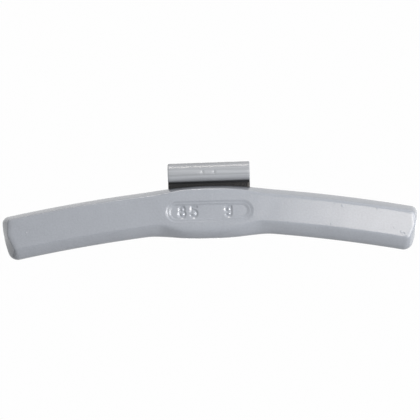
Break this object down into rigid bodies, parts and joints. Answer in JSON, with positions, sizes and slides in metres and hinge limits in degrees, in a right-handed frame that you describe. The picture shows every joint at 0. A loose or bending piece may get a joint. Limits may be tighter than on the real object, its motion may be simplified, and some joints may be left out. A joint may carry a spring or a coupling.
{
  "type": "wheel balance weight",
  "caption": "Curved, painted steel balance weight with a folded spring clip that grips the edge of a wheel rim flange.",
  "frame": {"origin": "middle of the bar's back face, on the bar's centre line", "axes": "+X along the bar, +Y out of the back face towards the rim, +Z outward from the wheel's centre"},
  "size_m": [0.1162, 0.0109, 0.026],
  "materials": {
    "body_paint": "satin grey paint over pressed steel",
    "clip_paint": "satin grey paint over rolled spring steel, with fine lines along the strip"
  },
  "bodies": {
    "root": {"weight_body": "body_paint", "spring_clip": "clip_paint"}
  },
  "joints": []
}
